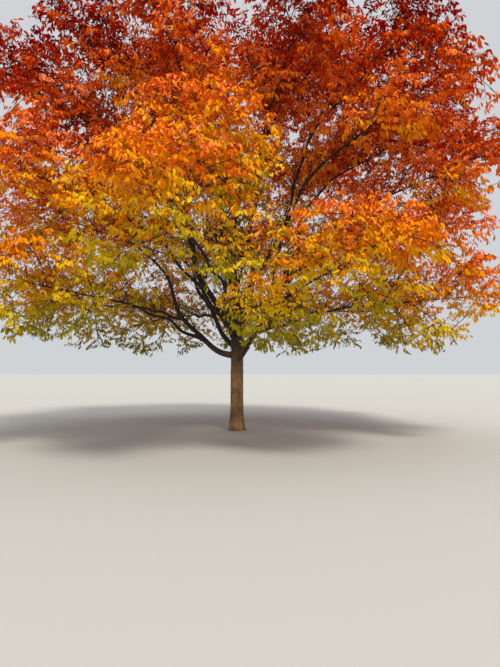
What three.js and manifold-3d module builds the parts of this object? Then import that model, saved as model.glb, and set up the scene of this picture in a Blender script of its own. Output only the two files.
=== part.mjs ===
// An ornamental cherry tree in autumn leaf, rooted in level ground.
// Millimetres, +Z up. The origin is the middle of the flat cut under the trunk.
// The tree is usually seen from its -Y side, with +X on the right.
//
// The trunk carries nine boughs, and smaller boughs branch from those. Each bough ends where it
// enters one mass of foliage. A mass has a space of its own, a flattened ball cut by flat walls
// half-way to its neighbours, so no two masses can touch. Inside it one stem goes on from the
// bough, side twigs leave the stem left and right by a seeded rule, and each large leaf on them
// stands for a spray of real leaves.

import * as THREE from "three";
import { mergeVertices } from "three/addons/utils/BufferGeometryUtils.js";
import Module from "manifold-3d";

const wasm = await Module();
wasm.setup();

const CLEARANCE = 0.3; // between solids that rest on each other

// The trunk
const TRUNK_HEIGHT = 2550;
const TRUNK_RADIUS = 166; // at the ground, without the flare
const TRUNK_NARROWING = 18; // how much less that is at the fork
const FLARE = 62; // how far the root flare stands out at the ground
const FLARE_HEIGHT = 240; // the flare fades over about this height
const ROOT_RIDGES = 5;
const RIDGE_DEPTH = 0.16; // of the flare
const RIDGE_TURN = 0.6; // radians that the ridges are turned
const TRUNK_SIDES = 16;
const TRUNK_RINGS = [0, 80, 180, 330, 600, 1100, 1700, 2250, 2420, 2500, 2550];
const TOP_ROUNDING = 170; // the trunk rounds off over this height below the fork
const TOP_CLOSING = 0.82; // how far it closes there, 1 for a full dome

// Boughs
const BOUGH_STEPS = 6; // lengths that a bough is made of
const FIRST_SIDES = 7; // sides of a bough that leaves the trunk
const LATER_SIDES = 5; // and of one that leaves another bough
const PULL = 0.36; // how far a bough keeps its first and last headings, of its span
const SWAY = 0.024; // how far it wanders from that line, of its span
const COLLAR = 0.28; // how much thicker a bough is at its foot
const TIP_SHARE = 1 / 80; // a bough's tip radius, of its mass's radius
const THINNING = 1.4; // above 1, a bough thins faster near its foot than near its tip

// Masses of foliage
const FLATTEN = 0.68; // a space's height, of its width
const SPACE_MARGIN = 20; // from a space's flat walls
const STEM_LIFT = 0.45; // a stem is this much flatter than the line from foot to mass
const ENTRY = 0.84; // where the bough ends, of the way from the mass's middle to its edge
const STEM_END = 0.3; // how far the stem goes past the middle, of the way to the edge
const STEM_SIDES = 4;
const STEM_NARROWING = 0.4; // of its radius, from foot to end
const SIDE_TWIGS = 6;
const TWIG_ROOM = 0.975; // how much of the room that a twig has is used, with its end leaf
const TWIG_SHARE = 0.66; // a twig's radius at its foot, of its stem's there
const TWIG_SIDES = 3;
const TWIG_BARE = 0.155; // a twig's least bare length before its end leaf, of the mass's radius
const LEAF_LENGTH = 0.7; // of the mass's radius
const LEAF_WIDTH = 0.56; // of its own length
const LEAF_THICKNESS = 0.022;
const LEAF_WIDEST = 0.42; // of the way from its foot to its tip
const LEAF_SIZES = [1, 0.88, 0.79, 0.72]; // where the full length doesn't fit
const LEAF_ROLLS = [34, -34, 62, -62, 8]; // degrees that it may be turned about its midrib
const LEAF_SINK = 0.42; // how far a side leaf's foot is past its twig's middle, of the twig's radius
const LEAF_SPACING = 0.07; // between the feet of leaves on one twig, of the mass's radius
const LEAF_GAP = 16; // between leaves, twigs and limbs that don't carry each other

// Each bough: its name, what carries it and where along that (0 to 1), how steeply it leaves
// (degrees above level), its radius at the foot, and its mass: compass (degrees from +X towards
// +Y), reach from the trunk's axis, height and radius of the mass's middle.
const BOUGHS = [
  // nine that leave the trunk
  ["top_right", "trunk", 0.93, 66, 98, -15, 1350, 8650, 1950],
  ["top_left", "trunk", 0.955, 84, 80, 200, 1300, 8600, 1950],
  ["upper_left", "trunk", 0.885, 50, 86, 206, 4250, 7400, 2150],
  ["front", "trunk", 0.9, 34, 66, -101, 4700, 4050, 1950],
  ["left", "trunk", 0.735, 0, 80, 178, 4400, 5400, 2000],
  ["front_right", "trunk", 0.68, 28, 76, -62, 4500, 3450, 1700],
  ["mid_back", "trunk", 0.84, 32, 78, 88, 4250, 5500, 2150],
  ["mid_back_right", "trunk", 0.78, 30, 72, 40, 4350, 5450, 2100],
  ["mid_back_left", "trunk", 0.8, 26, 72, 134, 4300, 5400, 2150],
  // low tier
  ["low_left", "left", 0.4, 10, 44, 166, 4450, 3300, 1950],
  ["low_front_left", "left", 0.24, 12, 48, 213, 4500, 3200, 1900],
  ["low_front_right", "front_right", 0.5, 0, 34, -72, 3250, 2650, 1350],
  ["low_right", "front_right", 0.34, 14, 48, -16, 4550, 3100, 1950],
  ["low_back_right", "mid_back_right", 0.3, 8, 44, 31, 4400, 3250, 1950],
  ["low_back", "mid_back", 0.3, 6, 46, 80, 4400, 3250, 2050],
  ["low_back_left", "mid_back_left", 0.32, 8, 44, 126, 4350, 3150, 1950],
  // middle tier
  ["mid_front_left", "upper_left", 0.1, 36, 50, -143, 4450, 5250, 1950],
  ["mid_front", "front", 0.26, 50, 44, -99, 4050, 5400, 1650],
  ["mid_front_right", "top_right", 0.26, 34, 48, -44, 4450, 6700, 1950],
  ["right", "top_right", 0.1, 26, 54, -4, 4500, 5000, 1950],
  ["far_right", "right", 0.42, 36, 34, -29, 4950, 5650, 1750],
  // upper tier
  ["upper_front_left", "top_left", 0.34, 44, 44, -111, 3300, 7850, 2000],
  ["upper_front_right", "top_right", 0.48, 40, 42, -70, 3250, 7900, 1950],
  ["upper_right", "right", 0.28, 58, 40, 0, 4050, 7350, 2150],
  ["upper_back_right", "mid_back_right", 0.4, 62, 44, 50, 3600, 7450, 2050],
  ["upper_back_left", "mid_back_left", 0.4, 60, 44, 150, 3600, 7400, 2100],
  ["upper_back", "mid_back", 0.42, 64, 44, 100, 3250, 7750, 2100],
  ["high_left", "upper_left", 0.4, 60, 38, 222, 3700, 8050, 1700],
  ["high_right", "mid_front_right", 0.4, 60, 30, -40, 3950, 8000, 1850],
].map(([name, from, at, rise, foot, compass, reach, height, radius]) => {
  return { name, from, at, rise, foot, compass, reach, height, radius };
});

// Colours, from the lowest foliage to the highest
const BARK = new THREE.MeshStandardMaterial({ color: 0x6e4e38, roughness: 0.9, metalness: 0 });
const TINTS = [
  { below: 3700, slot: "leaf_gold", color: 0xdda51f },
  { below: 6000, slot: "leaf_amber", color: 0xe08a1e },
  { below: 8000, slot: "leaf_orange", color: 0xd4601a },
  { below: Infinity, slot: "leaf_red", color: 0xb93a16 },
].map((tint) => ({
  ...tint,
  material: new THREE.MeshStandardMaterial({ color: tint.color, roughness: 0.6, metalness: 0 }),
}));

// Numbers from 0 to 1 that are the same on every run.
function seeded(seed) {
  let state = Math.imul(seed, 2654435761) >>> 0;
  return () => {
    state = (Math.imul(state, 1664525) + 1013904223) >>> 0;
    return state / 4294967296;
  };
}

const between = (low, high, share) => low + (high - low) * share;

function heading(compass, rise) {
  const c = THREE.MathUtils.degToRad(compass);
  const r = THREE.MathUtils.degToRad(rise);
  return new THREE.Vector3(Math.cos(r) * Math.cos(c), Math.cos(r) * Math.sin(c), Math.sin(r));
}

// Solids and booleans

function solid(geometry) {
  geometry.deleteAttribute("normal");
  geometry.deleteAttribute("uv");
  const merged = mergeVertices(geometry, 1e-4);
  return new wasm.Manifold(
    new wasm.Mesh({
      numProp: 3,
      vertProperties: new Float32Array(merged.attributes.position.array),
      triVerts: new Uint32Array(merged.index.array),
    }),
  );
}

function geometryOf(made) {
  const mesh = made.getMesh();
  return new THREE.BufferGeometry()
    .setAttribute("position", new THREE.BufferAttribute(new Float32Array(mesh.vertProperties), 3))
    .setIndex(new THREE.BufferAttribute(new Uint32Array(mesh.triVerts), 1));
}

// The largest piece of a solid. Loose scraps and sealed hollows are separate pieces, and go.
function largest(made) {
  return made.decompose().reduce((a, b) => (b.volume() > a.volume() ? b : a));
}

// A closed cylinder bent along a line of stations { point, along, radius }. The radius may be a
// function of the angle round the limb.
function loft(stations, sides) {
  const geometry = new THREE.CylinderGeometry(1, 1, 1, sides, stations.length - 1);
  const across = [];
  const upright = Math.abs(stations[0].along.z) > 0.9;
  let last = upright ? new THREE.Vector3(1, 0, 0) : new THREE.Vector3(0, 0, 1);
  for (const { along } of stations) {
    last = last.clone().addScaledVector(along, -last.dot(along)).normalize();
    across.push(last);
  }
  const places = geometry.getAttribute("position");
  for (let i = 0; i < places.count; i++) {
    const x = places.getX(i);
    const z = places.getZ(i);
    const ring = Math.round((places.getY(i) + 0.5) * (stations.length - 1));
    const { point, along, radius } = stations[ring];
    const normal = across[ring];
    const side = normal.clone().cross(along);
    const reach = typeof radius === "function" ? radius(Math.atan2(z, x)) : radius;
    const place = point.clone().addScaledVector(normal, x * reach).addScaledVector(side, z * reach);
    places.setXYZ(i, place.x, place.y, place.z);
  }
  return solid(geometry);
}

// The same line with a little more room all round, to cut its neighbours clear of it.
function widened(stations) {
  const roomier = stations.map((s) => ({
    ...s,
    radius: typeof s.radius === "function" ? (a) => s.radius(a) + CLEARANCE : s.radius + CLEARANCE,
  }));
  const end = roomier[roomier.length - 1];
  end.point = end.point.clone().addScaledVector(end.along, CLEARANCE);
  return roomier;
}

// The spaces of the masses

const masses = BOUGHS.map((b) => {
  const out = heading(b.compass, 0).multiplyScalar(b.reach);
  return { name: b.name, radius: b.radius, middle: new THREE.Vector3(out.x, out.y, b.height) };
});

const stretched = (v) => new THREE.Vector3(v.x, v.y, v.z / FLATTEN);

// How far a line from a point goes before it leaves a mass's space.
function roomAlong(mass, from, along) {
  const step = stretched(along);
  const mine = stretched(from.clone().sub(mass.middle));
  const a = step.dot(step);
  const b = mine.dot(step);
  const c = mine.dot(mine) - mass.radius ** 2;
  if (c >= 0) return 0;
  let room = (-b + Math.sqrt(b * b - a * c)) / a;
  for (const other of masses) {
    if (other === mass) continue;
    const apart = stretched(other.middle.clone().sub(mass.middle));
    const theirs = stretched(from.clone().sub(other.middle));
    const lead = theirs.dot(theirs) - other.radius ** 2 - c - 2 * SPACE_MARGIN * apart.length();
    if (lead <= 0) return 0;
    const closing = 2 * step.dot(apart);
    if (closing > 0) room = Math.min(room, lead / closing);
  }
  return room;
}

const inside = (mass, point) => roomAlong(mass, point, new THREE.Vector3(0, 0, 1)) > 0;

// Limbs: the trunk and the boughs

function trunkRadius(height) {
  const narrowing = TRUNK_NARROWING * (height / TRUNK_HEIGHT);
  const flare = FLARE * Math.exp(-height / FLARE_HEIGHT);
  const top = Math.max(0, (height - (TRUNK_HEIGHT - TOP_ROUNDING)) / TOP_ROUNDING);
  const rounding = Math.sqrt(1 - TOP_CLOSING * top * top);
  const ridges = (angle) => 1 + RIDGE_DEPTH * Math.cos(ROOT_RIDGES * angle + RIDGE_TURN);
  return (angle) => (TRUNK_RADIUS - narrowing + flare * ridges(angle)) * rounding;
}

const trunk = {
  name: "trunk",
  stations: TRUNK_RINGS.map((height) => ({
    point: new THREE.Vector3(0, 0, height),
    along: new THREE.Vector3(0, 0, 1),
    radius: trunkRadius(height),
  })),
};

function pointOn(limb, share) {
  const last = limb.stations.length - 1;
  if (limb === trunk) return new THREE.Vector3(0, 0, share * TRUNK_HEIGHT);
  const i = Math.min(Math.floor(share * last), last - 1);
  return limb.stations[i].point.clone().lerp(limb.stations[i + 1].point, share * last - i);
}

// A bough's stations, from its foot on its carrier's middle line to its tip, which faces its mass.
function boughLine(row, index, carrier) {
  const mass = masses[index];
  const foot = pointOn(carrier, row.at);
  const out = mass.middle.clone().sub(foot);
  const entering = new THREE.Vector3(out.x, out.y, out.z * STEM_LIFT).normalize();
  const back = entering.clone().negate();
  const tip = mass.middle.clone().addScaledVector(back, ENTRY * roomAlong(mass, mass.middle, back));
  const reach = tip.clone().sub(foot);
  const span = reach.length();
  const leaving = heading(THREE.MathUtils.radToDeg(Math.atan2(reach.y, reach.x)), row.rise);
  const curve = new THREE.CubicBezierCurve3(
    foot,
    foot.clone().addScaledVector(leaving, PULL * span),
    tip.clone().addScaledVector(entering, -PULL * span),
    tip,
  );
  const sideways = new THREE.Vector3(-reach.y, reach.x, 0).normalize();
  const upwards = reach.clone().cross(sideways).normalize();
  const random = seeded(index + 1);
  const turns = [random(), random()];
  const tipRadius = row.radius * TIP_SHARE;
  const place = (t) => {
    const fade = SWAY * span * Math.sin(Math.PI * t) ** 2;
    return curve
      .getPoint(t)
      .addScaledVector(sideways, fade * Math.sin(2 * Math.PI * (1.6 * t + turns[0])))
      .addScaledVector(upwards, fade * Math.sin(2 * Math.PI * (2.1 * t + turns[1])));
  };
  const stations = [];
  for (let i = 0; i <= BOUGH_STEPS; i++) {
    const t = i / BOUGH_STEPS;
    const along = place(Math.min(t + 0.01, 1)).sub(place(Math.max(t - 0.01, 0))).normalize();
    const collar = 1 + COLLAR * Math.exp((-t * span) / (2.2 * row.foot));
    const radius = between(tipRadius, row.foot, (1 - t) ** THINNING) * collar;
    stations.push({ point: place(t), along: i === BOUGH_STEPS ? entering : along, radius });
  }
  return { name: row.name, stations, mass, entering, tipRadius };
}

const limbs = new Map([["trunk", trunk]]);
BOUGHS.forEach((row, index) => limbs.set(row.name, boughLine(row, index, limbs.get(row.from))));

// Foliage

// The least distance between two straight lines, given by their ends.
function gapBetween([a0, a1], [b0, b1]) {
  const u = a1.clone().sub(a0);
  const v = b1.clone().sub(b0);
  const w = a0.clone().sub(b0);
  const [a, b, c, d, e] = [u.dot(u), u.dot(v), v.dot(v), u.dot(w), v.dot(w)];
  const clamp = (x) => Math.min(Math.max(x, 0), 1);
  const slope = a * c - b * b;
  let s = slope > 1e-9 ? clamp((b * e - c * d) / slope) : 0;
  const t = clamp((b * s + e) / c);
  s = clamp((b * t - d) / a);
  return a0.clone().addScaledVector(u, s).distanceTo(b0.clone().addScaledVector(v, t));
}

function pierces([from, to], [p, q, r]) {
  const ray = new THREE.Ray(from, to.clone().sub(from).normalize());
  const hit = ray.intersectTriangle(p, q, r, false, new THREE.Vector3());
  return hit !== null && from.distanceTo(hit) < from.distanceTo(to);
}

// Two shapes clash where a line of one passes too near a line of the other, or through its face.
// A shape is { lines, faces, thick }.
function clash(one, other) {
  const gap = one.thick + other.thick + LEAF_GAP;
  return (
    one.lines.some((a) => other.lines.some((b) => gapBetween(a, b) < gap)) ||
    one.lines.some((a) => other.faces.some((f) => pierces(a, f))) ||
    other.lines.some((a) => one.faces.some((f) => pierces(a, f)))
  );
}

const rod = (from, to, thick) => ({ lines: [[from, to]], faces: [], thick });

const limbRods = [...limbs.values()].flatMap((limb) =>
  limb.stations.slice(1).map((station, i) => {
    const thick = limb === trunk ? TRUNK_RADIUS : limb.stations[i].radius;
    return rod(limb.stations[i].point, station.point, thick);
  }),
);

const limbRodsNear = (mass) =>
  limbRods.filter(({ lines: [[from, to]] }) => {
    const nearest = new THREE.Line3(from, to).closestPointToPoint(mass.middle, true, new THREE.Vector3());
    return nearest.distanceTo(mass.middle) < 1.2 * mass.radius;
  });

// A leaf is a flat lozenge, widest before its middle, with four faces: its midrib is the upper
// edge from foot to tip, and its lower edge runs across. Roll turns it about its midrib.
function leafAt(foot, along, length, roll) {
  const level = new THREE.Vector3(-along.y, along.x, 0)
    .normalize()
    .applyAxisAngle(along, THREE.MathUtils.degToRad(roll));
  const upright = along.clone().cross(level);
  const onMidrib = foot.clone().addScaledVector(along, LEAF_WIDEST * length);
  const below = onMidrib.clone().addScaledVector(upright, -LEAF_THICKNESS * length);
  const halfWidth = (length * LEAF_WIDTH) / 2;
  const left = below.clone().addScaledVector(level, halfWidth);
  const right = below.clone().addScaledVector(level, -halfWidth);
  const tip = foot.clone().addScaledVector(along, length);
  const lines = [
    [foot.clone().lerp(left, 0.3), left],
    [left, tip],
    [tip, right],
    [right, foot.clone().lerp(right, 0.3)],
  ];
  const faces = [[foot, left, tip], [foot, tip, right]];
  const core = onMidrib.lerp(below, 0.5);
  return { foot, tip, left, right, length, core, lines, faces, thick: 0, outline: [left, tip, right] };
}

function leafSolid(leaf) {
  const geometry = new THREE.TetrahedronGeometry(1);
  const places = geometry.getAttribute("position");
  for (let i = 0; i < places.count; i++) {
    const ahead = places.getX(i) > 0;
    const place = places.getZ(i) > 0 ? (ahead ? leaf.tip : leaf.foot) : ahead ? leaf.right : leaf.left;
    places.setXYZ(i, place.x, place.y, place.z);
  }
  return solid(geometry);
}

// Turns a heading to one side and gives it a rise of its own, both in degrees.
function turned(along, aside, rise) {
  return heading(THREE.MathUtils.radToDeg(Math.atan2(along.y, along.x)) + aside, rise);
}

const riseOf = (along) => THREE.MathUtils.radToDeg(Math.asin(along.z));

// The seeded rule of a mass: its stem, and twigs that leave it by turns left and right, the last
// one straight on. Each twig is given by where and how it leaves the stem and by its room there.
function growth(limb, index) {
  const { mass, entering, tipRadius } = limb;
  const random = seeded(100 + index);
  const start = limb.stations[BOUGH_STEPS].point.clone().addScaledVector(entering, CLEARANCE);
  const beyond = STEM_END * roomAlong(mass, mass.middle, entering);
  const end = mass.middle.clone().addScaledVector(entering, beyond);
  const twigs = [];
  for (let k = 0; k <= SIDE_TWIGS; k++) {
    const t = k < SIDE_TWIGS ? (k + 0.55 + 0.5 * (random() - 0.5)) / SIDE_TWIGS : 0.99;
    const side = k % 2 ? -1 : 1;
    const up = (k >> 1) % 2 ? -1 : 1;
    const aside = k < SIDE_TWIGS ? side * between(92, 46, t) + 20 * (random() - 0.5) : 0;
    const rise = 0.5 * riseOf(entering) + (k < SIDE_TWIGS ? up * between(14, 40, random()) : 0);
    const from = start.clone().lerp(end, t);
    const along = turned(entering, aside, rise);
    const radius = TWIG_SHARE * tipRadius * (1 - STEM_NARROWING * t);
    twigs.push({ from, along, side, radius, room: TWIG_ROOM * roomAlong(mass, from, along) });
  }
  return { start, end, entering, twigs, radius: 0.97 * tipRadius };
}

function foliageSolid(limb, index) {
  const { mass } = limb;
  const { start, end, entering, twigs, radius } = growth(limb, index);
  const limbsHere = limbRodsNear(mass);
  const fullLength = mass.radius * LEAF_LENGTH;
  const stem = rod(start.clone().addScaledVector(entering, 4 * radius), end, radius);
  const placed = [stem];
  const pieces = [
    loft(
      [
        { point: start, along: entering, radius },
        { point: end, along: entering, radius: radius * (1 - STEM_NARROWING) },
      ],
      STEM_SIDES,
    ),
  ];
  const clear = (shape, carrier) =>
    !limbsHere.some((limbHere) => clash(shape, limbHere)) &&
    !placed.some((other) => other !== carrier && clash(shape, other));

  // The first and largest of the leaves that the sizes and rolls give here and that fits, if any.
  const fitted = (make, carrier) => {
    for (const size of LEAF_SIZES) {
      for (const roll of LEAF_ROLLS) {
        const leaf = make(size * fullLength, roll);
        if (leaf && leaf.outline.every((p) => inside(mass, p)) && clear(leaf, carrier)) return leaf;
      }
    }
    return null;
  };

  const twigWithEndLeaf = ({ from, along, room, radius: thick, side }) => {
    const bare = (leaf) => rod(from.clone().addScaledVector(along, 4 * thick), leaf.foot, 0.7 * thick);
    const leaf = fitted((length, roll) => {
      if (room < length + TWIG_BARE * mass.radius) return null;
      const made = leafAt(from.clone().addScaledVector(along, room - length), along, length, side * roll);
      return clear(bare(made), stem) ? made : null;
    });
    if (!leaf) return null;
    const shape = bare(leaf);
    const endRadius = 0.36 * LEAF_THICKNESS * leaf.length;
    placed.push(leaf, shape);
    const stations = [
      { point: from, along, radius: thick },
      { point: leaf.core, along, radius: endRadius },
    ];
    pieces.push(loft(stations, TWIG_SIDES), leafSolid(leaf));
    const radiusAt = (d) => between(thick, endRadius, d / from.distanceTo(leaf.core));
    return { from, along, shape, side, radiusAt, bareLength: from.distanceTo(leaf.foot) };
  };

  const addSideLeaf = (twig, distance, aside, rise) => {
    const heads = turned(twig.along, aside, rise);
    const foot = twig.from
      .clone()
      .addScaledVector(twig.along, distance)
      .addScaledVector(heads, -LEAF_SINK * twig.radiusAt(distance));
    const leaf = fitted((length, roll) => leafAt(foot, heads, length, twig.side * roll), twig.shape);
    if (!leaf) return;
    placed.push(leaf);
    pieces.push(leafSolid(leaf));
  };

  const grown = twigs.map(twigWithEndLeaf).filter((twig) => twig !== null);
  const spacing = LEAF_SPACING * mass.radius;
  for (const twig of grown) {
    addSideLeaf(twig, twig.bareLength - spacing, 56 * twig.side, riseOf(twig.along) - 24);
    addSideLeaf(twig, twig.bareLength - 2 * spacing, -58 * twig.side, riseOf(twig.along) + 12);
  }
  return largest(wasm.Manifold.union(pieces));
}

// The tree

const tree = new THREE.Group();
tree.name = "cherry_tree";

function addNode(name, made, material) {
  const mesh = new THREE.Mesh(geometryOf(made), material);
  mesh.name = name;
  tree.add(mesh);
}

addNode("trunk", loft(trunk.stations, TRUNK_SIDES), BARK);

const cutters = [loft(widened(trunk.stations), TRUNK_SIDES)];
for (const row of BOUGHS) {
  const limb = limbs.get(row.name);
  const sides = row.from === "trunk" ? FIRST_SIDES : LATER_SIDES;
  const whole = loft(limb.stations, sides);
  const cut = largest(whole.subtract(wasm.Manifold.union(cutters)));
  addNode("bough_" + row.name, cut, BARK);
  cutters.push(loft(widened(limb.stations), sides));
}

BOUGHS.forEach((row, index) => {
  const tint = TINTS.find(({ below }) => row.height < below);
  addNode("foliage_" + row.name, foliageSolid(limbs.get(row.name), index), tint.material);
});

export default tree;
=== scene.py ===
# %% [markdown]
# # An ornamental cherry in autumn leaf
#
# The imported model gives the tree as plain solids: a trunk, its boughs, and masses of foliage whose
# large leaves each stand for a spray. This lesson dresses them. The trunk and the boughs get real
# bark, and each mass is grown again as twigs, shoots and leaves of about their true size.

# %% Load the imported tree
import math
from collections import namedtuple

import bmesh
import bpy
import numpy as np
from mathutils import Matrix, Vector, noise


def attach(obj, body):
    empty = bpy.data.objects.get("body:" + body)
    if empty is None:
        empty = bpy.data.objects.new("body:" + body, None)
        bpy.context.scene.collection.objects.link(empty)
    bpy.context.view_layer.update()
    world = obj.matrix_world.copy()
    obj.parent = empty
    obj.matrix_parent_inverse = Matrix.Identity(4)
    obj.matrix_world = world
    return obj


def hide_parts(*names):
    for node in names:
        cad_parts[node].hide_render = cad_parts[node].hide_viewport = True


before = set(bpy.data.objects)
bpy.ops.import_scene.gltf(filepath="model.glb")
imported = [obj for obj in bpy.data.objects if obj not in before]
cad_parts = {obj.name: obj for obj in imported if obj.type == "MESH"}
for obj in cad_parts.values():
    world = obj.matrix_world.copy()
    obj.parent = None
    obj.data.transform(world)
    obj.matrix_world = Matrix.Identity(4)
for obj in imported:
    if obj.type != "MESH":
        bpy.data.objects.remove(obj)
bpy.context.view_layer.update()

# %% [markdown]
# ## The eye
#
# The camera stands nearly thirteen metres in front of the trunk at eye height, with a wide lens
# tilted up a little, so the crown runs out of the frame at the top and sides. A wide lens close by
# makes the near tiers of leaves large. With a long lens from far away, all tiers would look the
# same size.

# %% Camera
EYE = Vector((0.33, -12.7, 1.5))
TILT_UP = 4.17  # degrees
LENS, SENSOR = 27.0, 36.0  # mm


def placed(name, data):
    thing = bpy.data.objects.new(name, data)
    bpy.context.scene.collection.objects.link(thing)
    return thing


camera_data = bpy.data.cameras.new("eye")
camera_data.lens = LENS
camera_data.sensor_width = SENSOR
camera_data.clip_end = 200.0
camera = placed("eye", camera_data)
camera.location = EYE
camera.rotation_euler = (math.radians(90.0 + TILT_UP), 0.0, 0.0)
bpy.context.scene.camera = camera
print("camera", tuple(EYE), "lens", camera_data.lens)

# %% [markdown]
# ## Floor and light
#
# Autumn leaves want soft light from a wide sky, with more of it from high behind the camera's right
# shoulder, so that the tops of the near tiers shine and the inside of the crown falls into shade.
# Each lamp is a very wide, far one, because a hard sun would break the crown into spots.

# %% Floor
FLOOR_REACH = 150.0


def plain_material(name, colour, roughness, shine=0.5):
    material = bpy.data.materials.new(name)
    material.use_nodes = True
    shader = material.node_tree.nodes["Principled BSDF"]
    shader.inputs["Base Color"].default_value = (*colour, 1.0)
    shader.inputs["Roughness"].default_value = roughness
    shader.inputs["Specular IOR Level"].default_value = shine
    return material


bm = bmesh.new()
bmesh.ops.create_grid(bm, x_segments=1, y_segments=1, size=FLOOR_REACH)
floor_mesh = bpy.data.meshes.new("floor")
bm.to_mesh(floor_mesh)
bm.free()
floor_mesh.materials.append(plain_material("pale_floor", (0.42, 0.41, 0.39), 0.9))
floor = placed("floor", floor_mesh)
print("floor of", 2 * FLOOR_REACH, "m")

# %% Sky and lamps
bpy.context.scene.view_settings.view_transform = "Standard"
sky = bpy.data.worlds.new("pale_sky")
sky.use_nodes = True
background = sky.node_tree.nodes["Background"]
background.inputs["Color"].default_value = (0.84, 0.87, 0.90, 1.0)
background.inputs["Strength"].default_value = 0.75
bpy.context.scene.world = sky


def wide_lamp(name, towards, spread, power, colour):
    """A far lamp; spread is its width in the sky, in degrees."""
    lamp = bpy.data.lights.new(name, "SUN")
    lamp.angle = math.radians(spread)
    lamp.energy = power
    lamp.color = colour
    placed(name, lamp).rotation_euler = Vector(towards).to_track_quat("-Z", "Y").to_euler()


wide_lamp("shoulder_light", (-0.35, 0.66, -1.05), 16.0, 3.0, (1.0, 0.95, 0.84))
wide_lamp("high_light", (-0.1, -0.25, -1.0), 60.0, 0.9, (1.0, 0.98, 0.95))
print("a sky and", len(bpy.data.lights), "lamps")

# %% [markdown]
# ## The limbs, as one table
#
# Every bough of the tree is one row: what carries it and where, how it leaves, how thick it is, and
# where its mass of foliage lies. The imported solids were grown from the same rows, so a line worked
# out here runs exactly down the middle of its solid. The last number is new: how far that mass has
# turned, from 0 for green-gold to 1 for crimson.

# %% The table of boughs
# share is how far along its carrier the bough starts, and thick is its radius there. Its compass
# angle, reach and height give the middle of its mass. Angles are in degrees and lengths in metres.
Bough = namedtuple("Bough", "name carrier share rise thick compass reach height radius turned")
ROWS = [
    ("top_right", "trunk", 0.93, 66, 0.098, -15, 1.35, 8.65, 1.95, 0.75),
    ("top_left", "trunk", 0.955, 84, 0.08, 200, 1.3, 8.6, 1.95, 0.7),
    ("upper_left", "trunk", 0.885, 50, 0.086, 206, 4.25, 7.4, 2.15, 0.71),
    ("front", "trunk", 0.9, 34, 0.066, -101, 4.7, 4.05, 1.95, 0.27),
    ("left", "trunk", 0.735, 0, 0.08, 178, 4.4, 5.4, 2, 0.46),
    ("front_right", "trunk", 0.68, 28, 0.076, -62, 4.5, 3.45, 1.7, 0.3),
    ("mid_back", "trunk", 0.84, 32, 0.078, 88, 4.25, 5.5, 2.15, 0.42),
    ("mid_back_right", "trunk", 0.78, 30, 0.072, 40, 4.35, 5.45, 2.1, 0.46),
    ("mid_back_left", "trunk", 0.8, 26, 0.072, 134, 4.3, 5.4, 2.15, 0.42),
    ("low_left", "left", 0.4, 10, 0.044, 166, 4.45, 3.3, 1.95, 0.2),
    ("low_front_left", "left", 0.24, 12, 0.048, 213, 4.5, 3.2, 1.9, 0.19),
    ("low_front_right", "front_right", 0.5, 0, 0.034, -72, 3.25, 2.65, 1.35, 0.14),
    ("low_right", "front_right", 0.34, 14, 0.048, -16, 4.55, 3.1, 1.95, 0.31),
    ("low_back_right", "mid_back_right", 0.3, 8, 0.044, 31, 4.4, 3.25, 1.95, 0.22),
    ("low_back", "mid_back", 0.3, 6, 0.046, 80, 4.4, 3.25, 2.05, 0.16),
    ("low_back_left", "mid_back_left", 0.32, 8, 0.044, 126, 4.35, 3.15, 1.95, 0.16),
    ("mid_front_left", "upper_left", 0.1, 36, 0.05, -143, 4.45, 5.25, 1.95, 0.42),
    ("mid_front", "front", 0.26, 50, 0.044, -99, 4.05, 5.4, 1.65, 0.3),
    ("mid_front_right", "top_right", 0.26, 34, 0.048, -44, 4.45, 6.7, 1.95, 0.6),
    ("right", "top_right", 0.1, 26, 0.054, -4, 4.5, 5, 1.95, 0.44),
    ("far_right", "right", 0.42, 36, 0.034, -29, 4.95, 5.65, 1.75, 0.54),
    ("upper_front_left", "top_left", 0.34, 44, 0.044, -111, 3.3, 7.85, 2, 0.6),
    ("upper_front_right", "top_right", 0.48, 40, 0.042, -70, 3.25, 7.9, 1.95, 0.69),
    ("upper_right", "right", 0.28, 58, 0.04, 0, 4.05, 7.35, 2.15, 0.74),
    ("upper_back_right", "mid_back_right", 0.4, 62, 0.044, 50, 3.6, 7.45, 2.05, 0.66),
    ("upper_back_left", "mid_back_left", 0.4, 60, 0.044, 150, 3.6, 7.4, 2.1, 0.66),
    ("upper_back", "mid_back", 0.42, 64, 0.044, 100, 3.25, 7.75, 2.1, 0.66),
    ("high_left", "upper_left", 0.4, 60, 0.038, 222, 3.7, 8.05, 1.7, 0.75),
    ("high_right", "mid_front_right", 0.4, 60, 0.03, -40, 3.95, 8, 1.85, 0.77),
]
BOUGHS = [Bough(*row) for row in ROWS]
print(len(BOUGHS), "boughs, each with its mass")

# %% [markdown]
# ## The rule of growth
#
# Each mass keeps to a flattened ball, cut by flat walls half-way to its neighbours. The question
# that a twig asks is how far it can go before it leaves that space. It could be asked of a mesh by
# ray casting, but a ball and a few planes answer it exactly, and for thousands of twigs at once.

# %% Spaces of the masses
FLATTEN = 0.68  # a space's height, of its width
SPACE_MARGIN = 0.020  # from a space's flat walls
SQUASH = np.array([1.0, 1.0, 1.0 / FLATTEN])  # turns the flattened balls round


def heading(compass, rise):
    """The direction that a compass angle and a rise give, both in degrees."""
    c, r = np.radians(compass), np.radians(rise)
    return np.stack([np.cos(r) * np.cos(c), np.cos(r) * np.sin(c), np.sin(r)], axis=-1)


def rises(along):
    return np.degrees(np.arcsin(np.clip(along[..., 2], -1.0, 1.0)))


def turned(along, aside, rise):
    """The heading turned aside on the level, with a rise of its own."""
    return heading(np.degrees(np.arctan2(along[..., 1], along[..., 0])) + aside, rise)


def unit(v):
    return v / np.linalg.norm(v, axis=-1, keepdims=True)


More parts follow.
